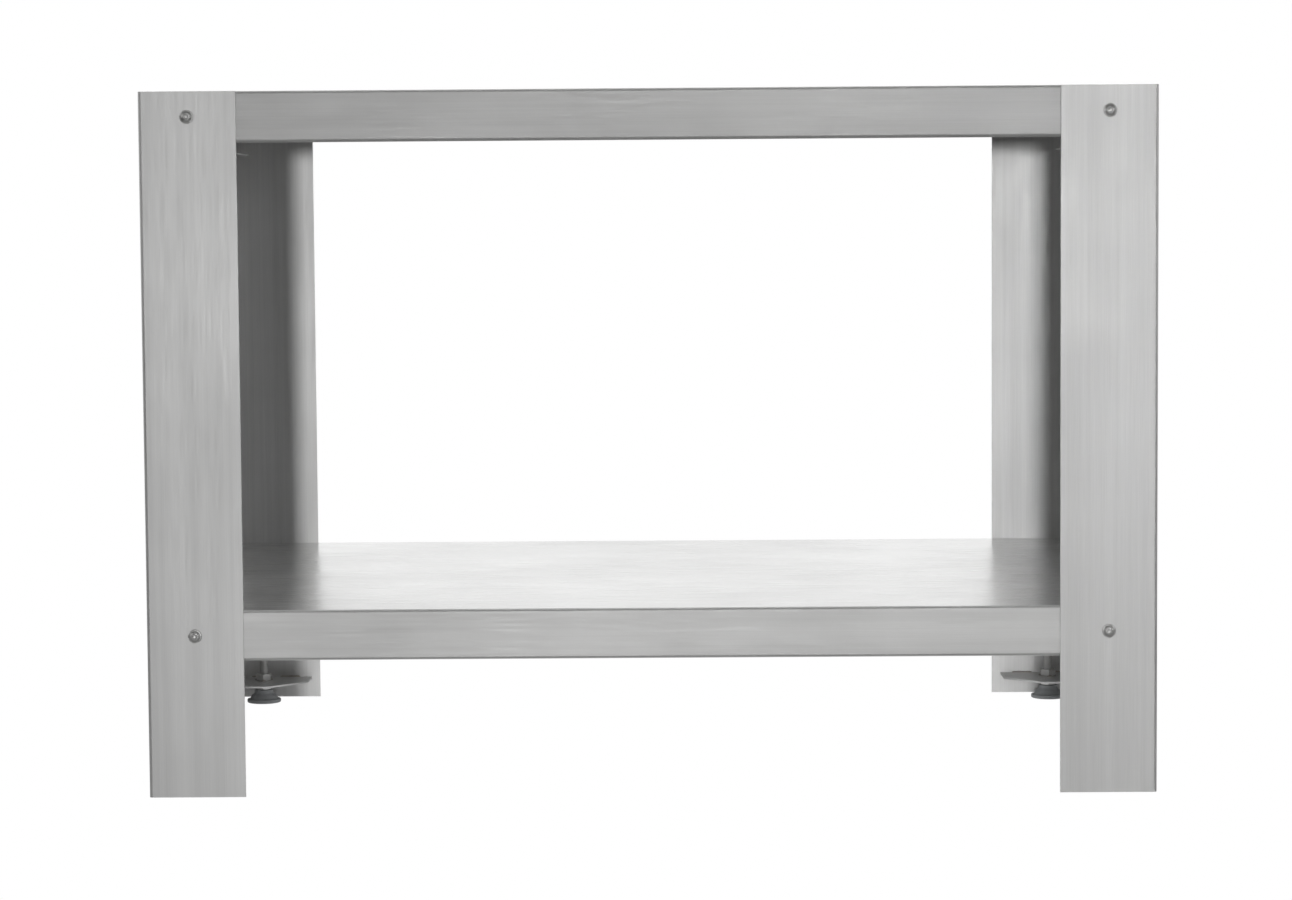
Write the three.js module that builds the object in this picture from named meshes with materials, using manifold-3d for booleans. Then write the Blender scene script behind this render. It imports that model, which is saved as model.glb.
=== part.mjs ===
// Stand for a conveyor pizza oven: four folded angle legs, four folded top rails that the oven rests
// on, a turned-down undershelf and four levelling feet, all in stainless steel sheet.
// Millimetres, +Z up. X is the width and Y the depth, with the front at -Y.
// The origin is on the floor under the middle of the stand.
import * as THREE from "three";
import { mergeVertices } from "three/addons/utils/BufferGeometryUtils.js";
import Module from "manifold-3d";

const wasm = await Module();
wasm.setup();

// ---- driving dimensions ----
const WIDTH = 1000; // over the legs' outer faces
const DEPTH = 700;
const HEIGHT = 700; // floor to the top of the rails
const GAP = 0.3; // between pieces that touch

const LEG_FLANGE = 96; // width of each side of the angle
const LEG_SHEET = 2;
const LEG_BOTTOM = 2; // the leg ends just above the floor
const BEND_RADIUS = 1.5; // inside every fold

const RAIL_SHEET = 1.5;
const RAIL_HEIGHT = 50;
const REAR_RAIL_HEIGHT = 30;
const RAIL_TOP_FLANGE = 35;
const RAIL_BOTTOM_FLANGE = 22;
const RAIL_LIP = 8; // turned down from the top flange
const RAIL_END_CLEARANCE = 6; // lets a rail drop in beside the next one
const RAIL_FLANGE_CLEARANCE = 2.5; // between the flanges of two rails at a corner

const SHELF_SHEET = 1.5;
const SHELF_TOP = 188;
const SHELF_FLANGE = 50;
const SHELF_LIP = 12;
const SHELF_CORNER_NOTCH = 5;

const STIFFENER_LENGTH = 940;
const STIFFENER_CROWN = 40;
const STIFFENER_DROP = 22;
const STIFFENER_BRIM = 16;
const STIFFENER_SPACING = 230;

const BOLT_RADIUS = 3; // M6
const BOLT_HEAD_RADIUS = 6.8;
const BOLT_HEAD_RIM = 0.8;
const BOLT_HEAD_DOME_RADIUS = 5.2;
const BOLT_HEAD_HEIGHT = 3.3;
const BOLT_SOCKET_ACROSS_FLATS = 4;
const BOLT_SOCKET_DEPTH = 2;
const BOLT_LENGTH = 14;
const BOLT_HOLE_RADIUS = 3.5;
const NUT_ACROSS_FLATS = 10;
const NUT_HEIGHT = 6;
const NUT_WASHER_RADIUS = 7;
const NUT_WASHER_THICKNESS = 1.2;
const NUT_BORE_RADIUS = 3.3;
const CAP_NUT_HEX_HEIGHT = 5; // the shelf's nuts are closed, so that no thread is left bare
const CAP_NUT_HEIGHT = 12;
const CAP_NUT_DOME_RADIUS = 4.75;
const CAP_NUT_CLOSED_END = 1.6;

const FOOT_INSET = 32; // from the leg's outer faces to the foot's axis
const FOOT_PLATE_UNDERSIDE = 24;
const FOOT_PLATE_SIZE = 86;
const FOOT_PLATE_CORNER = 44; // length of the two short edges beside the cut corner
const PAD_RADIUS = 20;
const PAD_NECK_RADIUS = 11;
const PAD_RIM_HEIGHT = 4;
const PAD_HEIGHT = 15.4;
const STUD_RADIUS = 5; // M10
const STUD_TOP = 74;
const STUD_CHAMFER = 1;
const STUD_HOLE_RADIUS = 5.6;
const COLLAR_ACROSS_FLATS = 17;
const FOOT_NUT_ACROSS_FLATS = 17;
const FOOT_NUT_HEIGHT = 8;
const FOOT_NUT_BORE_RADIUS = 5.3;

const ROUND_SEGMENTS = 16;
const SMALL_SEGMENTS = 12;
const BEND_SEGMENTS = 3;
const SNAP = 0.001;

// ---- materials ----
const sheetSteel = new THREE.MeshStandardMaterial({ color: 0xb8b9b7, roughness: 0.38, metalness: 0.9 });
const shelfSteel = new THREE.MeshStandardMaterial({ color: 0xc4c5c3, roughness: 0.3, metalness: 0.9 });
const fastenerSteel = new THREE.MeshStandardMaterial({ color: 0xc8c8c4, roughness: 0.28, metalness: 1 });
const padPlastic = new THREE.MeshStandardMaterial({ color: 0x94969a, roughness: 0.6, metalness: 0 });

// ---- solids ----
// Corners are snapped to a fine grid first, so that faces meant to be flush are exactly flush.
function toSolid(geometry) {
  const bare = geometry.clone();
  bare.deleteAttribute("normal");
  bare.deleteAttribute("uv");
  const snapped = bare.attributes.position.array.map((value) => Math.round(value / SNAP) * SNAP);
  bare.setAttribute("position", new THREE.BufferAttribute(snapped, 3));
  const merged = mergeVertices(bare, SNAP / 2);
  const triVerts = new Uint32Array(merged.index.array);
  const vertProperties = new Float32Array(merged.attributes.position.array);
  return new wasm.Manifold(new wasm.Mesh({ numProp: 3, vertProperties, triVerts }));
}

function toGeometry(solid) {
  const mesh = solid.getMesh();
  const geometry = new THREE.BufferGeometry();
  geometry.setAttribute("position", new THREE.BufferAttribute(mesh.vertProperties, 3));
  geometry.setIndex(new THREE.BufferAttribute(mesh.triVerts, 1));
  const faceted = geometry.toNonIndexed();
  faceted.computeVertexNormals();
  return faceted;
}

// A cylinder, or a prism where it has few sides, standing on z = 0 and running up.
function upright(radius, height, segments) {
  const geometry = new THREE.CylinderGeometry(radius, radius, height, segments);
  return geometry.rotateX(Math.PI / 2).translate(0, 0, height / 2);
}

function hexagon(acrossFlats, height) {
  return upright(acrossFlats / Math.sqrt(3), height, 6);
}

// A solid of revolution about Z, from [radius, height] pairs that start and end on the axis.
function turned(profile) {
  const points = profile.map(([radius, height]) => new THREE.Vector2(radius, height));
  return new THREE.LatheGeometry(points, ROUND_SEGMENTS).rotateX(Math.PI / 2);
}

// The outline of a folded sheet from the mid-line of its cross-section, a list of [u, v] corners.
function foldedOutline(corners, thickness) {
  const path = corners.map(([u, v]) => new THREE.Vector2(u, v));
  const midRadius = BEND_RADIUS + thickness / 2;
  const left = [];
  const right = [];
  const addPair = (point, direction) => {
    const normal = new THREE.Vector2(-direction.y, direction.x).multiplyScalar(thickness / 2);
    left.push(point.clone().add(normal));
    right.unshift(point.clone().sub(normal));
  };
  const directionFrom = (i) => path[i + 1].clone().sub(path[i]).normalize();
  addPair(path[0], directionFrom(0));
  for (let i = 1; i < path.length - 1; i += 1) {
    const before = directionFrom(i - 1);
    const after = directionFrom(i);
    const turn = Math.sign(before.cross(after));
    const start = path[i].clone().addScaledVector(before, -midRadius);
    const towardCentre = new THREE.Vector2(-before.y, before.x).multiplyScalar(turn * midRadius);
    const centre = start.clone().add(towardCentre);
    for (let step = 0; step <= BEND_SEGMENTS; step += 1) {
      const angle = (turn * step * Math.PI) / 2 / BEND_SEGMENTS;
      addPair(start.clone().rotateAround(centre, angle), before.clone().rotateAround({ x: 0, y: 0 }, angle));
    }
  }
  addPair(path[path.length - 1], directionFrom(path.length - 2));
  return new THREE.Shape([...left, ...right]);
}

// Extrudes a (Y, Z) cross-section along X, with its middle at x = 0.
function alongX(shape, length) {
  const geometry = new THREE.ExtrudeGeometry(shape, { depth: length, bevelEnabled: false });
  geometry.translate(0, 0, -length / 2);
  return geometry.rotateY(Math.PI / 2).rotateX(Math.PI / 2);
}

// A round cutter whose middle is at a point, along the X, Y or Z axis.
function drill(axis, point, radius, length) {
  const geometry = new THREE.CylinderGeometry(radius, radius, length, SMALL_SEGMENTS);
  if (axis === "x") geometry.rotateZ(Math.PI / 2);
  if (axis === "z") geometry.rotateX(Math.PI / 2);
  return toSolid(geometry.translate(...point));
}

function cutAll(solid, cutters) {
  return cutters.reduce((kept, cutter) => kept.subtract(cutter), solid);
}

// ---- places shared by several pieces ----
const UP = new THREE.Vector3(0, 0, 1);
const BOLT_INSET = LEG_FLANGE / 2; // from the leg's corner to the bolt's axis
const SIDE_BOLT_HEIGHT = HEIGHT - RAIL_HEIGHT / 2;
const REAR_BOLT_HEIGHT = HEIGHT - REAR_RAIL_HEIGHT / 2;
const SHELF_BOLT_HEIGHT = SHELF_TOP - SHELF_FLANGE / 2;
const INNER_FACE = LEG_SHEET + GAP; // from the legs' outer faces to what is bolted inside them
const CORNERS = [
  { name: "front_left", sideX: -1, sideY: -1 },
  { name: "front_right", sideX: 1, sideY: -1 },
  { name: "rear_left", sideX: -1, sideY: 1 },
  { name: "rear_right", sideX: 1, sideY: 1 },
];

const facingBoltHeights = (corner) => [
  corner.sideY < 0 ? SIDE_BOLT_HEIGHT : REAR_BOLT_HEIGHT,
  SHELF_BOLT_HEIGHT,
];

// ---- legs ----
// An angle folded from one sheet, with a foot plate across its bottom and holes for the bolts.
function legGeometry(corner) {
  const { sideX, sideY } = corner;
  const middle = LEG_SHEET / 2;
  const outward = ([u, v]) => [sideX * (WIDTH / 2 - u), sideY * (DEPTH / 2 - v)];
  const angle = foldedOutline(
    [[LEG_FLANGE, middle], [middle, middle], [middle, LEG_FLANGE]].map(outward),
    LEG_SHEET,
  );
  const angleGeometry = new THREE.ExtrudeGeometry(angle, { depth: HEIGHT - LEG_BOTTOM, bevelEnabled: false });
  angleGeometry.translate(0, 0, LEG_BOTTOM);

  const plateCorners = [
    [middle, middle],
    [FOOT_PLATE_SIZE, middle],
    [FOOT_PLATE_SIZE, FOOT_PLATE_CORNER],
    [FOOT_PLATE_CORNER, FOOT_PLATE_SIZE],
    [middle, FOOT_PLATE_SIZE],
  ].map(outward);
  const plate = new THREE.Shape(plateCorners.map(([x, y]) => new THREE.Vector2(x, y)));
  const plateGeometry = new THREE.ExtrudeGeometry(plate, { depth: LEG_SHEET, bevelEnabled: false });
  plateGeometry.translate(0, 0, FOOT_PLATE_UNDERSIDE);
  // The plate stops short of the angle's rounded outer corner.
  const cornerTrim = new THREE.BoxGeometry(BEND_RADIUS * 2, BEND_RADIUS * 2, LEG_SHEET * 2);
  cornerTrim.translate(...outward([middle, middle]), FOOT_PLATE_UNDERSIDE + middle);
  const trimmedPlate = toSolid(plateGeometry).subtract(toSolid(cornerTrim));

  const cutters = [];
  const length = LEG_SHEET * 4;
  for (const height of facingBoltHeights(corner)) {
    const [x, y] = outward([BOLT_INSET, middle]);
    cutters.push(drill("y", [x, y, height], BOLT_HOLE_RADIUS, length));
  }
  for (const height of [SIDE_BOLT_HEIGHT, SHELF_BOLT_HEIGHT]) {
    const [x, y] = outward([middle, BOLT_INSET]);
    cutters.push(drill("x", [x, y, height], BOLT_HOLE_RADIUS, length));
  }
  const [footX, footY] = outward([FOOT_INSET, FOOT_INSET]);
  cutters.push(drill("z", [footX, footY, FOOT_PLATE_UNDERSIDE + middle], STUD_HOLE_RADIUS, length));
  return toGeometry(cutAll(toSolid(angleGeometry).add(trimmedPlate), cutters));
}

// ---- top rails ----
// A channel along X: its web stands at y = 0 facing -Y, its flanges run in towards +Y and its top
// is at z = 0. endNotch cuts the flanges back from both ends, where another rail's flanges pass.
function railGeometry(length, height, boltSpacing, endNotch) {
  const middle = RAIL_SHEET / 2;
  const section = foldedOutline(
    [
      [RAIL_TOP_FLANGE - middle, -RAIL_LIP],
      [RAIL_TOP_FLANGE - middle, -middle],
      [middle, -middle],
      [middle, -height + middle],
      [RAIL_BOTTOM_FLANGE, -height + middle],
    ],
    RAIL_SHEET,
  );
  const cutters = [];
  for (const side of [-1, 1]) {
    const bolt = [(side * boltSpacing) / 2, middle, -height / 2];
    cutters.push(drill("y", bolt, BOLT_HOLE_RADIUS, RAIL_SHEET * 4));
    if (endNotch > 0) {
      const notch = new THREE.BoxGeometry(endNotch * 2, RAIL_TOP_FLANGE * 2, height * 2);
      notch.translate((side * length) / 2, RAIL_TOP_FLANGE + RAIL_SHEET + GAP, -height / 2);
      cutters.push(toSolid(notch));
    }
  }
  return toGeometry(cutAll(toSolid(alongX(section, length)), cutters));
}

// ---- undershelf ----
// A closed nut with a domed end. It stands on z = 0 and runs down, and its root is sunk by a given
// depth into the sheet that it is welded to.
function capNut(rootDepth) {
  const hex = hexagon(NUT_ACROSS_FLATS, CAP_NUT_HEX_HEIGHT + rootDepth).translate(0, 0, -CAP_NUT_HEX_HEIGHT);
  const dome = turned([
    [0, -CAP_NUT_HEIGHT],
    [CAP_NUT_DOME_RADIUS * 0.5, -CAP_NUT_HEIGHT + 0.7],
    [CAP_NUT_DOME_RADIUS * 0.87, -CAP_NUT_HEIGHT + 2.4],
    [CAP_NUT_DOME_RADIUS, -CAP_NUT_HEIGHT + 4.75],
    [CAP_NUT_DOME_RADIUS, -CAP_NUT_HEX_HEIGHT / 2],
    [0, -CAP_NUT_HEX_HEIGHT / 2],
  ]);
  return [hex, dome];
}

// A tray turned down on all four sides, with a lip turned in along the bottom of each side and a cap
// nut welded inside the flange at each bolt.
function shelfGeometry() {
  const middle = SHELF_SHEET / 2;
  const folded = (span, length) => {
    const side = span / 2 - middle;
    const bottom = SHELF_TOP - SHELF_FLANGE + middle;
    const top = SHELF_TOP - middle;
    const section = foldedOutline(
      [
        [side - SHELF_LIP, bottom],
        [side, bottom],
        [side, top],
        [-side, top],
        [-side, bottom],
        [-side + SHELF_LIP, bottom],
      ],
      SHELF_SHEET,
    );
    return alongX(section, length);
  };
  const width = WIDTH - 2 * INNER_FACE;
  const depth = DEPTH - 2 * INNER_FACE;
  const frontToRear = toSolid(folded(depth, width - 2 * SHELF_CORNER_NOTCH));
  const sideToSide = toSolid(folded(width, depth - 2 * SHELF_CORNER_NOTCH).rotateZ(Math.PI / 2));
  let tray = frontToRear.add(sideToSide);
  const cutters = [];
  // Each nut is turned so that its own +Z is the way its flange faces, and is bored out from there.
  const addCapNut = (onFlange, facing) => {
    const turn = new THREE.Quaternion().setFromUnitVectors(UP, facing);
    const place = (geometry) => toSolid(geometry.applyQuaternion(turn).translate(...onFlange));
    for (const piece of capNut(middle)) {
      tray = tray.add(place(piece.translate(0, 0, -SHELF_SHEET)));
    }
    const boreDepth = SHELF_SHEET + CAP_NUT_HEIGHT - CAP_NUT_CLOSED_END;
    const bore = upright(NUT_BORE_RADIUS, boreDepth + SHELF_SHEET, SMALL_SEGMENTS);
    cutters.push(place(bore.translate(0, 0, -boreDepth)));
  };
  for (const { sideX, sideY } of CORNERS) {
    const boltX = sideX * (WIDTH / 2 - BOLT_INSET);
    const boltY = sideY * (DEPTH / 2 - BOLT_INSET);
    addCapNut([boltX, (sideY * depth) / 2, SHELF_BOLT_HEIGHT], new THREE.Vector3(0, sideY, 0));
    addCapNut([(sideX * width) / 2, boltY, SHELF_BOLT_HEIGHT], new THREE.Vector3(sideX, 0, 0));
    // The lips stop short of the corner, so that the folds don't meet.
    const reach = SHELF_LIP + SHELF_CORNER_NOTCH;
    const relief = new THREE.BoxGeometry(2 * reach, 2 * reach, 2 * SHELF_CORNER_NOTCH);
    relief.translate((sideX * width) / 2, (sideY * depth) / 2, SHELF_TOP - SHELF_FLANGE);
    cutters.push(toSolid(relief));
  }
  return toGeometry(cutAll(tray, cutters));
}

// A top-hat section under the shelf's sheet, open side up.
function stiffenerGeometry() {
  const middle = SHELF_SHEET / 2;
  const crown = STIFFENER_CROWN / 2;
  const section = foldedOutline(
    [
      [-crown - STIFFENER_BRIM, -middle],
      [-crown, -middle],
      [-crown, -STIFFENER_DROP + middle],
      [crown, -STIFFENER_DROP + middle],
      [crown, -middle],
      [crown + STIFFENER_BRIM, -middle],
    ],
    SHELF_SHEET,
  );
  return alongX(section, STIFFENER_LENGTH);
}

// ---- fasteners ----
// A flanged button-head bolt: the head stands on z = 0 and the shank runs down.
function boltGeometry() {
  const shoulderHeight = BOLT_HEAD_HEIGHT * 0.75;
  const crownRadius = BOLT_HEAD_DOME_RADIUS * 0.62;
  const body = toSolid(
    turned([
      [0, -BOLT_LENGTH],
      [BOLT_RADIUS - 0.5, -BOLT_LENGTH],
      [BOLT_RADIUS, -BOLT_LENGTH + 0.5],
      [BOLT_RADIUS, 0],
      [BOLT_HEAD_RADIUS, 0],
      [BOLT_HEAD_RADIUS, BOLT_HEAD_RIM],
      [BOLT_HEAD_DOME_RADIUS, BOLT_HEAD_RIM * 1.5],
      [BOLT_HEAD_DOME_RADIUS * 0.86, shoulderHeight],
      [crownRadius, BOLT_HEAD_HEIGHT],
      [0, BOLT_HEAD_HEIGHT],
    ]),
  );
  const socket = hexagon(BOLT_SOCKET_ACROSS_FLATS, BOLT_SOCKET_DEPTH * 2);
  socket.translate(0, 0, BOLT_HEAD_HEIGHT - BOLT_SOCKET_DEPTH);
  return toGeometry(body.subtract(toSolid(socket)));
}

// A hexagon flange nut: its washer face is at z = 0 and it runs down from there.
function nutGeometry() {
  const washer = upright(NUT_WASHER_RADIUS, NUT_WASHER_THICKNESS, ROUND_SEGMENTS);
  washer.translate(0, 0, -NUT_WASHER_THICKNESS);
  const hex = hexagon(NUT_ACROSS_FLATS, NUT_HEIGHT).translate(0, 0, -NUT_HEIGHT);
  const bore = drill("z", [0, 0, -NUT_HEIGHT / 2], NUT_BORE_RADIUS, NUT_HEIGHT * 2);
  return toGeometry(toSolid(hex).add(toSolid(washer)).subtract(bore));
}

// ---- levelling feet ----
function padGeometry() {
  return turned([
    [0, 0],
    [PAD_RADIUS - 1.5, 0],
    [PAD_RADIUS, 1.5],
    [PAD_RADIUS, PAD_RIM_HEIGHT],
    [PAD_NECK_RADIUS + 2, PAD_HEIGHT * 0.6],
    [PAD_NECK_RADIUS, PAD_HEIGHT * 0.75],
    [PAD_NECK_RADIUS, PAD_HEIGHT],
    [0, PAD_HEIGHT],
  ]);
}

// A threaded stud with a hexagon collar for a spanner, which sits on the pad.
function studGeometry() {
  const collarBottom = PAD_HEIGHT + GAP;
  const collarTop = FOOT_PLATE_UNDERSIDE - GAP;
  const collar = hexagon(COLLAR_ACROSS_FLATS, collarTop - collarBottom).translate(0, 0, collarBottom);
  const stem = turned([
    [0, collarBottom + 1],
    [STUD_RADIUS, collarBottom + 1],
    [STUD_RADIUS, STUD_TOP - STUD_CHAMFER],
    [STUD_RADIUS - STUD_CHAMFER, STUD_TOP],
    [0, STUD_TOP],
  ]);
  return toGeometry(toSolid(collar).add(toSolid(stem)));
}

function footNutGeometry() {
  const bottom = FOOT_PLATE_UNDERSIDE + LEG_SHEET + GAP;
  const hex = hexagon(FOOT_NUT_ACROSS_FLATS, FOOT_NUT_HEIGHT).translate(0, 0, bottom);
  const bore = drill("z", [0, 0, bottom + FOOT_NUT_HEIGHT / 2], FOOT_NUT_BORE_RADIUS, FOOT_NUT_HEIGHT * 2);
  return toGeometry(toSolid(hex).subtract(bore));
}

// ---- assembly ----
const stand = new THREE.Group();

function addMesh(name, geometry, material, parent = stand) {
  const mesh = new THREE.Mesh(geometry, material);
  mesh.name = name;
  parent.add(mesh);
  return mesh;
}

for (const corner of CORNERS) {
  addMesh(`leg_${corner.name}`, legGeometry(corner), sheetSteel);
}

// The front and rear rails stop short of the side rails' webs, which run to the folds of the legs.
const acrossRailLength = WIDTH - 2 * (INNER_FACE + RAIL_SHEET + RAIL_END_CLEARANCE);
const sideRailLength = DEPTH - 2 * (INNER_FACE + BEND_RADIUS + RAIL_END_CLEARANCE);
const boltSpanX = WIDTH - 2 * BOLT_INSET;
const boltSpanY = DEPTH - 2 * BOLT_INSET;
const sideNotch = RAIL_TOP_FLANGE + RAIL_FLANGE_CLEARANCE - BEND_RADIUS - RAIL_END_CLEARANCE;
const frontRailGeometry = railGeometry(acrossRailLength, RAIL_HEIGHT, boltSpanX, 0);
const frontRail = addMesh("top_rail_front", frontRailGeometry, sheetSteel);
frontRail.position.set(0, -DEPTH / 2 + INNER_FACE, HEIGHT);
const rearRailGeometry = railGeometry(acrossRailLength, REAR_RAIL_HEIGHT, boltSpanX, 0);
const rearRail = addMesh("top_rail_rear", rearRailGeometry, sheetSteel);
rearRail.position.set(0, DEPTH / 2 - INNER_FACE, HEIGHT);
rearRail.rotation.z = Math.PI;
for (const [name, side] of [["left", -1], ["right", 1]]) {
  const geometry = railGeometry(sideRailLength, RAIL_HEIGHT, boltSpanY, sideNotch);
  const rail = addMesh(`top_rail_${name}`, geometry, sheetSteel);
  rail.position.set(side * (WIDTH / 2 - INNER_FACE), 0, HEIGHT);
  rail.rotation.z = (side * Math.PI) / 2;
}

addMesh("undershelf", shelfGeometry(), shelfSteel);
for (const [name, side] of [["front", -1], ["rear", 1]]) {
  const stiffener = addMesh(`shelf_stiffener_${name}`, stiffenerGeometry(), sheetSteel);
  stiffener.position.set(0, (side * STIFFENER_SPACING) / 2, SHELF_TOP - SHELF_SHEET - GAP);
}

// A bolt at each joint, with a loose nut where none is welded on. The group's +Z is the way that the
// bolt's head faces.
function addFastener(place, position, facing, hasLooseNut) {
  const joint = new THREE.Group();
  joint.position.copy(position);
  joint.quaternion.setFromUnitVectors(UP, facing);
  stand.add(joint);
  const bolt = addMesh(`bolt_${place}`, boltGeometry(), fastenerSteel, joint);
  bolt.position.z = GAP;
  if (hasLooseNut) {
    const nut = addMesh(`nut_${place}`, nutGeometry(), fastenerSteel, joint);
    nut.position.z = -(INNER_FACE + RAIL_SHEET + GAP);
  }
}

for (const corner of CORNERS) {
  const { name, sideX, sideY } = corner;
  const [topFacingHeight] = facingBoltHeights(corner);
  for (const [level, facingHeight, sideHeight, hasLooseNut] of [
    ["top", topFacingHeight, SIDE_BOLT_HEIGHT, true],
    ["shelf", SHELF_BOLT_HEIGHT, SHELF_BOLT_HEIGHT, false],
  ]) {
    const onFace = new THREE.Vector3(sideX * (WIDTH / 2 - BOLT_INSET), (sideY * DEPTH) / 2, facingHeight);
    const onSide = new THREE.Vector3((sideX * WIDTH) / 2, sideY * (DEPTH / 2 - BOLT_INSET), sideHeight);
    addFastener(`${level}_${name}_face`, onFace, new THREE.Vector3(0, sideY, 0), hasLooseNut);
    addFastener(`${level}_${name}_side`, onSide, new THREE.Vector3(sideX, 0, 0), hasLooseNut);
  }
}

for (const { name, sideX, sideY } of CORNERS) {
  const foot = new THREE.Group();
  foot.position.set(sideX * (WIDTH / 2 - FOOT_INSET), sideY * (DEPTH / 2 - FOOT_INSET), 0);
  stand.add(foot);
  addMesh(`foot_pad_${name}`, padGeometry(), padPlastic, foot);
  addMesh(`foot_stud_${name}`, studGeometry(), fastenerSteel, foot);
  addMesh(`foot_nut_${name}`, footNutGeometry(), fastenerSteel, foot);
}

export default stand;
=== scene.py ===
import math

import bmesh
import bpy
from mathutils import Matrix, Vector


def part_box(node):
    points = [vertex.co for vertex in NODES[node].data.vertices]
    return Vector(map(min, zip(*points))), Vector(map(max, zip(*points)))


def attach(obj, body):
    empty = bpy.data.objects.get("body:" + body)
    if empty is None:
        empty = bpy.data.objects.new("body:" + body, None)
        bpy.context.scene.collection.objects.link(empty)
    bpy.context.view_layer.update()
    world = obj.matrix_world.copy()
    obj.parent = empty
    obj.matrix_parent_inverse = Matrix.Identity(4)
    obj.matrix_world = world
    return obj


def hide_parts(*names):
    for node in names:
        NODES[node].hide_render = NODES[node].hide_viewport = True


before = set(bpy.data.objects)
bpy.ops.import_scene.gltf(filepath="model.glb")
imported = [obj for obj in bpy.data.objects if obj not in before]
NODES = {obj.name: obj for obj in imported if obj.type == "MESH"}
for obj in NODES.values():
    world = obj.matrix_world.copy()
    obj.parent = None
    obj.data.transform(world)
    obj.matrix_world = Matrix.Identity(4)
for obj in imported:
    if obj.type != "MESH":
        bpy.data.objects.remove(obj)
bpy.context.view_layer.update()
CORNERS = ("front_left", "front_right", "rear_left", "rear_right")

# ---- camera, in metres, degrees and, for the lens and sensor, millimetres ----
CAMERA_PLACE = (0.0217, -3.5948, 0.5695)
CAMERA_YAW = 0.457
CAMERA_PITCH = -3.958
CAMERA_ROLL = -0.413
CAMERA_LENS = 91.98
CAMERA_SENSOR = 36
CAMERA_SIGHT = 100

# ---- stage and lights, in metres, degrees and watts ----
WHITE = 1.0
BACKDROP_RADIUS = 30
FLOOR_RADIUS = 20
FLOOR_LEVEL = -0.027  # just under the feet at the end of their travel; white on white, so it doesn't show
AMBIENT = 0.01
KEY_PLACE = (-0.17, -7.85, 0.62)
KEY_TARGET = (0, 0, 0.45)
KEY_SIZE = 0.22
KEY_POWER = 103
FILL_PLACE = (2.0, -4.6, 0.8)
FILL_TARGET = (0.62, -0.35, 0.66)
FILL_SIZE = 0.6
FILL_POWER = 0.49
FILL_SPREAD = 26  # a narrow beam, which keeps the fill on the stand's right end

# ---- meshes ----
AROUND = 48  # corners round a turned piece: a multiple of 12, so that hexagons keep their corners
THREAD_AROUND = 24
SPOT_AROUND = 20
BEAD_AROUND = 12
SAME_POINT = 1e-7  # metres; closer points are merged in the pieces made here
SAME_CAD_POINT = 2e-6  # metres; closer points are merged in the CAD sheets
SHARP_ANGLE = 32  # degrees; edges that turn more than this stay sharp
PAD_SHARP_ANGLE = 40
WELD_SHARP_ANGLE = 60
DEBURR = 0.00035  # metres taken off a sheet's edges
DEBURR_ANGLE = 50
FACES_UP = 0.99  # a face whose normal rises more than this is part of the shelf's top, which gets the paler painted sheen

# ---- materials ----
NOISE_LOW = 0.3  # most of a noise's values lie between these two
NOISE_HIGH = 0.7
LEG_LOOK = {"dark": (0.50, 0.50, 0.497), "light": (0.70, 0.70, 0.695), "roughness": 0.50}
# the rails' steel is the legs' steel painted darker: painted shade for the duller reflection of their
# sideways grain
RAIL_LOOK_PAINTED_DARKER = {"dark": (0.48, 0.48, 0.477), "light": (0.66, 0.66, 0.655), "roughness": 0.575}
FLANGE_LOOK = {"dark": (0.54, 0.54, 0.535), "light": (0.70, 0.70, 0.695), "roughness": 0.52}
# the shelf's top: smoother, and paler in colour as a painted sheen for the bright backdrop it reflects
WORN_TOP_LOOK_WITH_PAINTED_SHEEN = {"dark": (0.60, 0.60, 0.595), "light": (0.72, 0.72, 0.715), "roughness": 0.27, "broad": 9.0}

# ---- screw threads, in metres ----
STEPS_PER_TURN = 8  # rings of corners along one turn of a thread
RIDGE_SLOPE = 2.4  # a ridge falls from its crest to the root in 1 / RIDGE_SLOPE of a pitch

# ---- M6 bolts and nuts, in metres ----
BOLT_RADIUS = 0.003
BOLT_ROOT = 0.0026
BOLT_PITCH = 0.001
BOLT_CHAMFER = 0.0005
BOLT_HEAD = 0.0033
BOLT_SOCKET = 0.004  # across its flats
SHANK_IN_HEAD = 0.0003
NUT_ACROSS = 0.010
NUT_BORE = 0.0032
NUT_FLANGE = (0.007, 0.0012)  # radius and thickness

# ---- levelling feet, in metres ----
STUD_RADIUS = 0.005
STUD_ROOT = 0.00435
STUD_PITCH = 0.0015
STUD_CHAMFER = 0.001
SPANNER_ACROSS = 0.017  # across the flats of the stud's collar and of the foot nut
COLLAR_TOP = 0.0237
COLLAR_BORE = 0.003
STEM_IN_COLLAR = 0.001  # the stem starts this far above the collar's lower end
FOOT_NUT_BORE = 0.0052
PAD_NECK = 0.011

# ---- sheets and welds, in metres; the sheets and the plate are the CAD's ----
LEG_SHEET = 0.002
STIFFENER_SHEET = 0.0015
FOOT_PLATE_TOP = 0.026
BEAD_RADIUS = 0.0016
BEAD_LENGTH = 0.024
BEAD_STARTS = (0.012, 0.046)  # along the plate's edge, from the leg's inner corner
BEAD_STEP = 0.0007  # from one ring of corners to the next
BEAD_RIPPLE = 0.0021  # from one ripple to the next
BEAD_RIPPLE_DEPTH = 0.14  # a share of the radius
BEAD_TAPER = 0.0025  # from an end on, the radius grows by its full size over this length
BEAD_END = 0.35  # a share of the radius
NUT_BEAD_REACH = 0.003  # half the length of a bead on the foot nut
NUT_BEAD_TURNS = (0.6, 2.7, 4.8)  # where those beads are round the nut, in radians
SPOTS_IN_ROW = 9
SPOT_FROM_END = 0.03
SPOT_FROM_EDGE = 0.008
# pairs of (radius, height over the sheet's lower face), from a dimple's middle to its rim
SPOT_PROFILE = ((0.0012, -0.00022), (0.0022, -0.0002), (0.0028, -0.00008), (0.0031, 0.0002))


# ---- small helpers ----
def add_object(name, mesh):
    piece = bpy.data.objects.new(name, mesh)
    bpy.context.scene.collection.objects.link(piece)
    return piece


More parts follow.
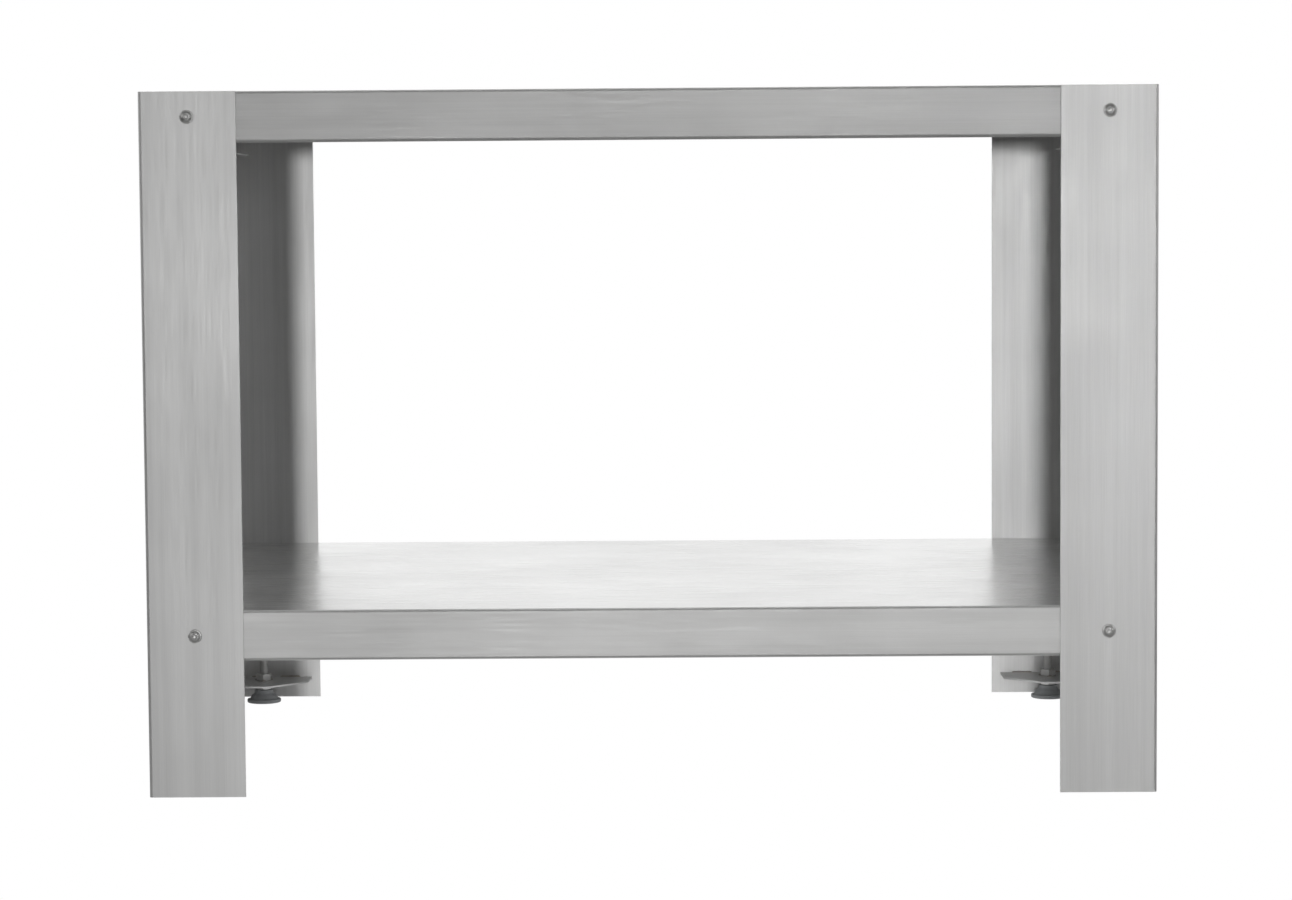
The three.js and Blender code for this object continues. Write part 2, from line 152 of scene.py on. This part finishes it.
def mesh_from_rings(name, rings, closed_ends=True):
    """A surface through rings of equally many points. A closed end is a fan to the ring's middle."""
    made = bmesh.new()
    rows = [[made.verts.new(point) for point in points] for points in rings]
    count = len(rings[0])
    for lower, upper in zip(rows, rows[1:]):
        for i in range(count):
            j = (i + 1) % count
            made.faces.new((lower[i], lower[j], upper[j], upper[i]))
    if closed_ends:
        for row in (rows[0], rows[-1]):
            centre = made.verts.new(sum((v.co for v in row), Vector()) / count)
            for i in range(count):
                made.faces.new((row[i], row[(i + 1) % count], centre))
    bmesh.ops.remove_doubles(made, verts=made.verts, dist=SAME_POINT)
    bmesh.ops.recalc_face_normals(made, faces=made.faces)
    mesh = bpy.data.meshes.new(name)
    made.to_mesh(mesh)
    made.free()
    return mesh


def ring(radius_at, height_at, count=AROUND):
    """Points round Z: the radius and the height are numbers or functions of the angle."""
    points = []
    for i in range(count):
        angle = 2 * math.pi * i / count
        radius = radius_at(angle) if callable(radius_at) else radius_at
        height = height_at(angle) if callable(height_at) else height_at
        points.append(Vector((radius * math.cos(angle), radius * math.sin(angle), height)))
    return points


def hexagon_radius(across_flats):
    """The radius of a hexagon's outline at an angle."""
    def radius(angle):
        within = (angle + math.pi / 6) % (math.pi / 3) - math.pi / 6
        return across_flats / 2 / math.cos(within)
    return radius


def fillet(centre_radius, centre_height, radius, start, end, steps=5):
    """Pairs of (radius, height) round a rounded edge, between two angles in degrees."""
    pairs = []
    for step in range(steps + 1):
        angle = math.radians(start + (end - start) * step / steps)
        pairs.append((centre_radius + radius * math.cos(angle), centre_height + radius * math.sin(angle)))
    return pairs


def shade(piece, sharp_angle=SHARP_ANGLE):
    """Smooth shading with the sharp edges kept sharp."""
    for face in piece.data.polygons:
        face.use_smooth = True
    piece.data.set_sharp_from_angle(angle=math.radians(sharp_angle))


def finish_sheet(node):
    """Takes the knife edge off a CAD sheet with modifiers, which leave the mesh's own corners in place."""
    piece = NODES[node]
    weld = piece.modifiers.new("weld", "WELD")
    weld.merge_threshold = SAME_CAD_POINT
    bevel = piece.modifiers.new("deburr", "BEVEL")
    bevel.width = DEBURR
    bevel.segments = 2
    bevel.limit_method = "ANGLE"
    bevel.angle_limit = math.radians(DEBURR_ANGLE)
    bevel.use_clamp_overlap = True
    normals = piece.modifiers.new("normals", "WEIGHTED_NORMAL")
    normals.keep_sharp = True
    for face in piece.data.polygons:
        face.use_smooth = True


# ---- material makers ----
class Nodes:
    """A material's nodes, with short calls for the ones used here."""

    def __init__(self, name):
        self.material = bpy.data.materials.new(name)
        self.material.use_nodes = True
        self.tree = self.material.node_tree
        self.shader = self.tree.nodes["Principled BSDF"]
        self.place = self.tree.nodes.new("ShaderNodeTexCoord").outputs["Object"]

    def link(self, source, target):
        self.tree.links.new(source, target)

    def grain(self, axis, along, across):
        """The object's own coordinates, scaled by one number along an axis and by another across it."""
        mapping = self.tree.nodes.new("ShaderNodeMapping")
        mapping.inputs["Scale"].default_value = [along if each == axis else across for each in "xyz"]
        self.link(self.place, mapping.inputs["Vector"])
        return mapping.outputs["Vector"]

    def noise(self, vector, scale=1.0, detail=3.0, roughness=0.5):
        node = self.tree.nodes.new("ShaderNodeTexNoise")
        node.inputs["Scale"].default_value = scale
        node.inputs["Detail"].default_value = detail
        node.inputs["Roughness"].default_value = roughness
        self.link(vector, node.inputs["Vector"])
        return node.outputs["Fac"]

    def spread(self, noise, low, high):
        """Maps the range that a noise covers to low..high."""
        node = self.tree.nodes.new("ShaderNodeMapRange")
        node.inputs["From Min"].default_value = NOISE_LOW
        node.inputs["From Max"].default_value = NOISE_HIGH
        node.inputs["To Min"].default_value = low
        node.inputs["To Max"].default_value = high
        self.link(noise, node.inputs["Value"])
        return node.outputs["Result"]

    def total(self, first, second):
        node = self.tree.nodes.new("ShaderNodeMath")
        node.operation = "ADD"
        self.link(first, node.inputs[0])
        self.link(second, node.inputs[1])
        return node.outputs["Value"]

    def ramp(self, value, dark, light):
        node = self.tree.nodes.new("ShaderNodeValToRGB")
        node.color_ramp.elements[0].color = (*dark, 1)
        node.color_ramp.elements[1].color = (*light, 1)
        self.link(value, node.inputs["Fac"])
        return node.outputs["Color"]

    def bump(self, height, strength, distance):
        node = self.tree.nodes.new("ShaderNodeBump")
        node.inputs["Strength"].default_value = strength
        node.inputs["Distance"].default_value = distance
        self.link(height, node.inputs["Height"])
        self.link(node.outputs["Normal"], self.shader.inputs["Normal"])


def brushed_steel(name, axis, dark, light, roughness, broad=18.0):
    """Satin sheet, its grain along one axis: scratches, lines, soft streaks and uneven handling marks."""
    nodes = Nodes(name)
    scratches = nodes.noise(nodes.grain(axis, along=18.0, across=2100.0), detail=2.0)
    lines = nodes.noise(nodes.grain(axis, along=1.6, across=190.0), detail=4.0, roughness=0.6)
    streaks = nodes.noise(nodes.grain(axis, along=0.72, across=broad), detail=3.0, roughness=0.55)
    handling = nodes.noise(nodes.place, scale=5.0, detail=4.0, roughness=0.6)
    tone = nodes.total(nodes.spread(streaks, 0.0, 0.38), nodes.spread(lines, 0.0, 0.28))
    tone = nodes.total(tone, nodes.spread(scratches, 0.0, 0.34))
    nodes.link(nodes.ramp(tone, dark, light), nodes.shader.inputs["Base Color"])
    rough = nodes.total(
        nodes.spread(scratches, roughness - 0.06, roughness + 0.06),
        nodes.spread(handling, -0.025, 0.025),
    )
    nodes.link(rough, nodes.shader.inputs["Roughness"])
    nodes.shader.inputs["Metallic"].default_value = 1.0
    relief = nodes.total(scratches, lines)
    nodes.bump(relief, strength=0.2, distance=0.00012)
    return nodes.material


def turned_steel(name):
    """Plated fasteners: bright and fine-grained, with a slight mottle."""
    nodes = Nodes(name)
    grain = nodes.noise(nodes.place, scale=900.0, detail=3.0)
    mottle = nodes.noise(nodes.place, scale=160.0, detail=3.0)
    colour = nodes.ramp(mottle, dark=(0.52, 0.52, 0.51), light=(0.70, 0.70, 0.69))
    nodes.link(colour, nodes.shader.inputs["Base Color"])
    nodes.link(nodes.spread(mottle, 0.36, 0.48), nodes.shader.inputs["Roughness"])
    nodes.shader.inputs["Metallic"].default_value = 1.0
    nodes.bump(grain, strength=0.1, distance=0.0001)
    return nodes.material


def weld_steel(name):
    """A weld: darker than the sheet, from grey to straw."""
    nodes = Nodes(name)
    tint = nodes.noise(nodes.place, scale=70.0, detail=3.0)
    colour = nodes.ramp(tint, dark=(0.24, 0.23, 0.24), light=(0.52, 0.47, 0.40))
    nodes.link(colour, nodes.shader.inputs["Base Color"])
    nodes.link(nodes.spread(tint, 0.34, 0.5), nodes.shader.inputs["Roughness"])
    nodes.shader.inputs["Metallic"].default_value = 1.0
    nodes.bump(nodes.noise(nodes.place, scale=700.0), strength=0.3, distance=0.0002)
    return nodes.material


def moulded_plastic(name):
    """Grey nylon with a fine moulded grain, scuffed a little paler."""
    nodes = Nodes(name)
    grain = nodes.noise(nodes.place, scale=1300.0, detail=2.0)
    scuffs = nodes.noise(nodes.place, scale=85.0, detail=5.0, roughness=0.65)
    colour = nodes.ramp(scuffs, dark=(0.22, 0.23, 0.24), light=(0.38, 0.39, 0.40))
    nodes.link(colour, nodes.shader.inputs["Base Color"])
    nodes.link(nodes.spread(scuffs, 0.42, 0.66), nodes.shader.inputs["Roughness"])
    nodes.bump(grain, strength=0.35, distance=0.00015)
    return nodes.material


def paint(piece, material):
    piece.data.materials.clear()
    piece.data.materials.append(material)


def paint_shelf(piece, flanges, top):
    """The shelf's flat top is worn smoother than its flanges. Its paler colour is a painted sheen that
    stands in for the bright backdrop it reflects.
    """
    paint(piece, flanges)
    piece.data.materials.append(top)
    for face in piece.data.polygons:
        face.material_index = 1 if face.normal.z > FACES_UP else 0


# ---- fastener shapes, round the Z axis ----
def threaded_rings(radius, root, pitch, low, high, chamfer):
    """Rings up a thread. The ridge fades out at both ends, where the rod is chamfered."""
    depth = radius - root
    count = round((high - low) / pitch * STEPS_PER_TURN)
    rings = []
    for step in range(count + 1):
        height = low + (high - low) * step / count
        edge = min(height - low, high - height)
        fade = min(1.0, edge / pitch)
        taper = max(0.0, chamfer - edge)

        def radius_at(angle, height=height, fade=fade, taper=taper):
            phase = (height / pitch - angle / (2 * math.pi)) % 1.0
            ridge = max(0.0, 1 - abs(phase - 0.5) * RIDGE_SLOPE)
            return root + depth * ridge * fade - taper

        rings.append(ring(radius_at, height, THREAD_AROUND))
    return rings


def hex_nut_rings(across_flats, bottom, top, bore, flange=None):
    """A chamfered hexagon with a countersunk bore. A flange, (radius, thickness), is at its top end."""
    outline = hexagon_radius(across_flats)
    chamfer_radius = across_flats / 2 * 0.96
    slope = math.tan(math.radians(30))

    def chamfered(angle):
        return (outline(angle) - chamfer_radius) * slope

    countersink = across_flats * 0.04
    rings = [
        ring(bore, top - countersink),
        ring(bore, bottom + countersink),
        ring(bore + countersink, bottom),
        ring(chamfer_radius, bottom),
        ring(outline, lambda angle: bottom + chamfered(angle)),
    ]
    if flange:
        rim, thickness = flange
        rings += [
            ring(outline, top - thickness * 1.5),
            ring(rim - thickness * 0.3, top - thickness),
            ring(rim, top - thickness * 0.75),
            ring(rim, top - thickness * 0.15),
            ring(rim - thickness * 0.15, top),
        ]
    else:
        rings += [
            ring(outline, lambda angle: top - chamfered(angle)),
            ring(chamfer_radius, top),
        ]
    rings += [ring(bore + countersink, top), ring(bore, top - countersink)]
    return rings


def turned_rings(pairs, count=AROUND):
    return [ring(radius, height, count) for radius, height in pairs]


def bolt_head_rings(low, high, rim_radius, across_flats):
    """A flanged button head, from its underside round the rim, over the dome and into its hexagon socket."""
    height = high - low
    rim = height * 0.24  # the flange's thickness
    dome = rim_radius * 0.76  # the dome's radius at its foot
    mouth = across_flats * 0.64  # the radius of the socket's chamfer
    socket = hexagon_radius(across_flats)
    pairs = [(rim_radius * 0.55, low), (rim_radius - 0.0002, low)]
    pairs += fillet(rim_radius - rim / 2, low + rim / 2, rim / 2, -70, 80)
    pairs += [(dome * 1.04, low + rim * 1.25)]
    steps = 7
    for step in range(1, steps + 1):
        swing = math.radians(12 + 66 * step / steps)
        radius = dome * (0.42 + 0.58 * math.cos(swing))
        pairs.append((radius, low + rim * 1.3 + (height - rim * 1.3) * math.sin(swing)))
    pairs.append((mouth, high))
    rings = turned_rings(pairs)
    # down the socket: its chamfer, its walls and its conical bottom
    rings += [
        ring(lambda angle: socket(angle) * 1.02, high - 0.00025),
        ring(socket, high - 0.0004),
        ring(socket, high - 0.0019),
        ring(across_flats * 0.2, high - 0.0023),
    ]
    return rings


def place_like(piece, low, high, outward):
    """Turns a piece made facing +Z to face outward, its z = 0 at the outer end of the CAD node's box."""
    turn = Vector((0, 0, 1)).rotation_difference(outward).to_matrix().to_4x4()
    centre = (low + high) / 2
    along = max(low.dot(outward), high.dot(outward))
    centre = centre - outward * centre.dot(outward) + outward * along
    piece.data.transform(Matrix.Translation(centre) @ turn)


def outward_of(node):
    """The way a bolt's head faces, from the name of the bolt or of its nut."""
    corner = node.split("_", 2)[2]
    if corner.endswith("face"):
        return Vector((0, -1 if "front" in corner else 1, 0))
    return Vector((-1 if "left" in corner else 1, 0, 0))


def joined_mesh(name, *groups):
    """One mesh from several shells, each given as its rings and whether its ends are closed."""
    whole = bmesh.new()
    for rings, closed_ends in groups:
        part = mesh_from_rings("part", rings, closed_ends)
        whole.from_mesh(part)
        bpy.data.meshes.remove(part)
    mesh = bpy.data.meshes.new(name)
    whole.to_mesh(mesh)
    whole.free()
    return mesh


def make_fastener(node, mesh, outward, material):
    low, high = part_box(node)
    piece = add_object(f"fine_{node}", mesh)
    place_like(piece, low, high, outward)
    shade(piece)
    paint(piece, material)
    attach(piece, "frame")
    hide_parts(node)


def make_bolt(node, material):
    low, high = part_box(node)
    outward = outward_of(node)
    size = high - low
    length = abs(size.dot(outward))
    head_radius = max(across for across, way in zip(size, outward) if way == 0) / 2
    head = bolt_head_rings(-BOLT_HEAD, 0, head_radius, BOLT_SOCKET)
    shank_end = -BOLT_HEAD + SHANK_IN_HEAD
    shank = threaded_rings(BOLT_RADIUS, BOLT_ROOT, BOLT_PITCH, -length, shank_end, BOLT_CHAMFER)
    make_fastener(node, joined_mesh(f"fine_{node}", (head, True), (shank, True)), outward, material)


def make_nut(node, material):
    low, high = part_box(node)
    outward = outward_of(node)
    height = abs((high - low).dot(outward))
    rings = hex_nut_rings(NUT_ACROSS, -height, 0, NUT_BORE, flange=NUT_FLANGE)
    make_fastener(node, mesh_from_rings(f"fine_{node}", rings, closed_ends=False), outward, material)


# ---- levelling feet ----
def pad_rings(low, high):
    """A foot pad: its slightly hollow underside, rounded rim, sloping skirt and neck."""
    rim = (high.x - low.x) / 2
    foot_round = 0.0015
    skirt_round = 0.0012
    neck_round = 0.0008
    pairs = [(rim * 0.6, low.z + 0.0006), (rim - 0.003, low.z)]
    pairs += fillet(rim - foot_round, low.z + foot_round, foot_round, -85, 0)
    pairs += fillet(rim - skirt_round, low.z + 0.0032, skirt_round, 0, 70)
    pairs += [(rim - 0.0035, low.z + 0.0052), (PAD_NECK + 0.0035, high.z * 0.56)]
    pairs += [(PAD_NECK + 0.0012, high.z * 0.66), (PAD_NECK, high.z * 0.78)]
    pairs += fillet(PAD_NECK - neck_round, high.z - neck_round, neck_round, 0, 85)
    return turned_rings(pairs)


def make_foot(corner, steel, plastic):
    pad_low, pad_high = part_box(f"foot_pad_{corner}")
    stud_low, stud_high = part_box(f"foot_stud_{corner}")
    nut_low, nut_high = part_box(f"foot_nut_{corner}")
    axis = (pad_low + pad_high) / 2
    across = Matrix.Translation((axis.x, axis.y, 0))

    pad = add_object(f"fine_foot_pad_{corner}", mesh_from_rings("pad", pad_rings(pad_low, pad_high)))
    pad.data.transform(across)
    shade(pad, PAD_SHARP_ANGLE)
    paint(pad, plastic)
    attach(pad, f"pad_{corner}")
    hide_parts(f"foot_pad_{corner}")

    collar = hex_nut_rings(SPANNER_ACROSS, stud_low.z, COLLAR_TOP, COLLAR_BORE)
    stem_low = stud_low.z + STEM_IN_COLLAR
    stem = threaded_rings(STUD_RADIUS, STUD_ROOT, STUD_PITCH, stem_low, stud_high.z, STUD_CHAMFER)
    name = f"fine_foot_stud_{corner}"
    stud = add_object(name, joined_mesh(name, (collar, False), (stem, True)))
    stud.data.transform(across)
    shade(stud)
    paint(stud, steel)
    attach(stud, f"stud_{corner}")
    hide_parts(f"foot_stud_{corner}")

    name = f"fine_foot_nut_{corner}"
    rings = hex_nut_rings(SPANNER_ACROSS, nut_low.z, nut_high.z, FOOT_NUT_BORE)
    nut = add_object(name, mesh_from_rings(name, rings, closed_ends=False))
    nut.data.transform(across)
    shade(nut)
    paint(nut, steel)
    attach(nut, "frame")
    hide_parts(f"foot_nut_{corner}")


# ---- welds ----
def bead_rings(start, end, radius):
    """A rippled bead between two points, thinner at its ends."""
    direction = (end - start).normalized()
    side = direction.cross(Vector((0, 0, 1))).normalized()
    up = direction.cross(side)
    length = (end - start).length
    count = round(length / BEAD_STEP)
    rings = []
    for step in range(count + 1):
        share = step / count
        ripple = 1 + BEAD_RIPPLE_DEPTH * math.sin(2 * math.pi * share * length / BEAD_RIPPLE)
        ends = min(1.0, BEAD_END + min(share, 1 - share) * length / BEAD_TAPER)
        centre = start + direction * length * share
        here = radius * ripple * ends
        points = []
        for i in range(BEAD_AROUND):
            angle = 2 * math.pi * i / BEAD_AROUND
            points.append(centre + (side * math.cos(angle) + up * math.sin(angle)) * here)
        rings.append(points)
    return rings


def make_plate_welds(corner, material):
    """Short beads that hold the foot plate to both sides of the leg, and the foot nut to the plate."""
    low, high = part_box(f"leg_{corner}")
    nut_low, nut_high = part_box(f"foot_nut_{corner}")
    side_x = -1 if "left" in corner else 1
    side_y = -1 if "front" in corner else 1
    inner_x = (low.x + LEG_SHEET) if side_x < 0 else (high.x - LEG_SHEET)
    inner_y = (low.y + LEG_SHEET) if side_y < 0 else (high.y - LEG_SHEET)
    top = FOOT_PLATE_TOP
    beads = []
    for start in BEAD_STARTS:
        end = start + BEAD_LENGTH
        beads.append((Vector((inner_x - side_x * start, inner_y, top)),
                      Vector((inner_x - side_x * end, inner_y, top))))
        beads.append((Vector((inner_x, inner_y - side_y * start, top)),
                      Vector((inner_x, inner_y - side_y * end, top))))
    nut = (nut_low + nut_high) / 2
    nut_radius = (nut_high.y - nut_low.y) / 2
    for turn in NUT_BEAD_TURNS:
        out = Vector((math.cos(turn), math.sin(turn), 0))
        along = Vector((-out.y, out.x, 0)) * NUT_BEAD_REACH
        middle = Vector((nut.x, nut.y, top)) + out * nut_radius
        beads.append((middle - along, middle + along))
    name = f"foot_plate_welds_{corner}"
    shells = [(bead_rings(start, end, BEAD_RADIUS), True) for start, end in beads]
    welds = add_object(name, joined_mesh(name, *shells))
    shade(welds, WELD_SHARP_ANGLE)
    paint(welds, material)
    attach(welds, "frame")


def make_spot_welds(place, material):
    """The round dimples of spot welds along a stiffener's two brims, seen from below."""
    low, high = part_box(f"shelf_stiffener_{place}")
    under = high.z - STIFFENER_SHEET
    row = high.x - low.x - 2 * SPOT_FROM_END
    shells = []
    for i in range(SPOTS_IN_ROW):
        x = low.x + SPOT_FROM_END + row * i / (SPOTS_IN_ROW - 1)
        for y in (low.y + SPOT_FROM_EDGE, high.y - SPOT_FROM_EDGE):
            middle = Vector((x, y, under))
            rings = turned_rings(SPOT_PROFILE, SPOT_AROUND)
            shells.append(([[point + middle for point in points] for points in rings], True))
    name = f"spot_welds_{place}"
    spots = add_object(name, joined_mesh(name, *shells))
    shade(spots, WELD_SHARP_ANGLE)
    paint(spots, material)
    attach(spots, "frame")


# ---- the object ----
leg_steel = brushed_steel("leg steel", "z", **LEG_LOOK)
# darker copies of the leg steel, for the rails and stiffeners: painted shade for the duller reflection of
# sideways grain
across_steel_painted_darker = brushed_steel("rail steel along x", "x", **RAIL_LOOK_PAINTED_DARKER)
side_steel_painted_darker = brushed_steel("rail steel along y", "y", **RAIL_LOOK_PAINTED_DARKER)
flange_steel = brushed_steel("shelf steel", "x", **FLANGE_LOOK)
# the shelf's top is smoother, and its paler colour is a painted sheen
worn_top_steel_with_painted_sheen = brushed_steel("shelf steel worn smooth with painted sheen", "x", **WORN_TOP_LOOK_WITH_PAINTED_SHEEN)
bright_steel = turned_steel("fastener steel")
bead_steel = weld_steel("weld steel")
pad_plastic = moulded_plastic("foot plastic")

for corner in CORNERS:
    finish_sheet(f"leg_{corner}")
    paint(NODES[f"leg_{corner}"], leg_steel)
    make_foot(corner, bright_steel, pad_plastic)
    make_plate_welds(corner, bead_steel)
for place in ("front", "rear"):
    finish_sheet(f"top_rail_{place}")
    paint(NODES[f"top_rail_{place}"], across_steel_painted_darker)
    finish_sheet(f"shelf_stiffener_{place}")
    paint(NODES[f"shelf_stiffener_{place}"], across_steel_painted_darker)
    make_spot_welds(place, bead_steel)
for place in ("left", "right"):
    finish_sheet(f"top_rail_{place}")
    paint(NODES[f"top_rail_{place}"], side_steel_painted_darker)
finish_sheet("undershelf")
paint_shelf(NODES["undershelf"], flange_steel, worn_top_steel_with_painted_sheen)
for node in sorted(NODES):
    if node.startswith("bolt_"):
        make_bolt(node, bright_steel)
    elif node.startswith("nut_"):
        make_nut(node, bright_steel)


# ---- stage, lights and camera ----
def white_stage(name, mesh):
    """A plain white surface that only the camera sees, so that it lights nothing."""
    stage = add_object(name, mesh)
    material = bpy.data.materials.new(name)
    material.use_nodes = True
    shader = material.node_tree.nodes["Principled BSDF"]
    shader.inputs["Base Color"].default_value = (0.0, 0.0, 0.0, 1)
    shader.inputs["Specular IOR Level"].default_value = 0.0
    shader.inputs["Emission Color"].default_value = (WHITE, WHITE, WHITE, 1)
    shader.inputs["Emission Strength"].default_value = 1.0
    mesh.materials.append(material)
    stage.visible_diffuse = False
    stage.visible_glossy = False
    stage.visible_transmission = False
    stage.visible_shadow = False


def make_stage():
    dome = bmesh.new()
    bmesh.ops.create_uvsphere(dome, u_segments=48, v_segments=24, radius=BACKDROP_RADIUS)
    mesh = bpy.data.meshes.new("backdrop")
    dome.to_mesh(mesh)
    dome.free()
    white_stage("backdrop", mesh)
    floor = bmesh.new()
    bmesh.ops.create_circle(floor, cap_ends=True, segments=96, radius=FLOOR_RADIUS)
    bmesh.ops.translate(floor, verts=floor.verts, vec=(0, 0, FLOOR_LEVEL))
    mesh = bpy.data.meshes.new("floor")
    floor.to_mesh(mesh)
    floor.free()
    white_stage("floor", mesh)


def add_light(name, place, target, size, power, height=None):
    """A rectangular card of light, seen only by what it lights. It is square if no height is given."""
    data = bpy.data.lights.new(name, "AREA")
    data.shape = "RECTANGLE"
    data.size = size
    data.size_y = height or size
    data.energy = power
    light = bpy.data.objects.new(name, data)
    bpy.context.scene.collection.objects.link(light)
    light.location = place
    direction = Vector(target) - Vector(place)
    light.rotation_euler = direction.to_track_quat("-Z", "Y").to_euler()
    light.visible_camera = False
    return light


def add_floor_light(name, x, y, size, power, height=None):
    """A card that lies on the floor and shines up."""
    add_light(name, (x, y, FLOOR_LEVEL), (x, y, 1), size, power, height)


def make_lights():
    add_light("key", KEY_PLACE, KEY_TARGET, KEY_SIZE, KEY_POWER)
    fill = add_light("fill", FILL_PLACE, FILL_TARGET, FILL_SIZE, FILL_POWER)
    fill.data.spread = math.radians(FILL_SPREAD)
    add_light("rear card", (0, 7.0, 1.6), (0, 0, 0.3), size=9.0, height=3.4, power=115)
    add_floor_light("floor card", x=0, y=-0.3, size=2.4, power=4.8)
    add_floor_light("under shelf card", x=0, y=-0.02, size=0.85, height=0.62, power=1.15)
    middle = (0, 0, 0.4)
    for side in (-1, 1):
        beside = (side * 0.5, 0.2, 0.4)
        front_corner = (side * 5.2, -4.8, 2.4)
        rear_corner = (side * 5.2, 5.0, 2.4)
        add_light(f"side card {side}", (side * 4.5, 0.2, 1.6), beside, size=4.6, height=2.6, power=40)
        add_floor_light(f"side floor card {side}", x=side * 3.2, y=1.8, size=3.0, power=32)
        add_light(f"front corner card {side}", front_corner, middle, size=3.0, height=4.0, power=30)
        add_light(f"rear corner card {side}", rear_corner, middle, size=3.0, height=4.0, power=46)
    add_floor_light("rear floor card", x=0, y=3.8, size=4.0, power=45)
    add_light("front top card", (0, -3.4, 4.4), middle, size=4.5, height=2.2, power=24)
    add_light("top card", (0, 1.4, 4.5), (0, 0.2, 0.3), size=2.6, power=45)
    world = bpy.data.worlds.new("ambient")
    world.use_nodes = True
    background = world.node_tree.nodes["Background"]
    background.inputs["Color"].default_value = (1, 1, 1, 1)
    background.inputs["Strength"].default_value = AMBIENT
    bpy.context.scene.world = world


def make_camera():
    yaw, pitch, roll = (math.radians(angle) for angle in (CAMERA_YAW, CAMERA_PITCH, CAMERA_ROLL))
    forward = Vector((-math.sin(yaw) * math.cos(pitch), math.cos(yaw) * math.cos(pitch), math.sin(pitch)))
    level_right = Vector((math.cos(yaw), math.sin(yaw), 0))
    level_up = level_right.cross(forward)
    right = level_right * math.cos(roll) + level_up * math.sin(roll)
    up = level_up * math.cos(roll) - level_right * math.sin(roll)
    data = bpy.data.cameras.new("camera")
    data.lens = CAMERA_LENS
    data.sensor_width = CAMERA_SENSOR
    data.clip_end = CAMERA_SIGHT
    camera = bpy.data.objects.new("camera", data)
    bpy.context.scene.collection.objects.link(camera)
    turn = Matrix((right, up, -forward)).transposed().to_4x4()
    camera.matrix_world = Matrix.Translation(CAMERA_PLACE) @ turn
    bpy.context.scene.camera = camera


make_stage()
make_lights()
make_camera()
bpy.context.scene.view_settings.view_transform = "Standard"
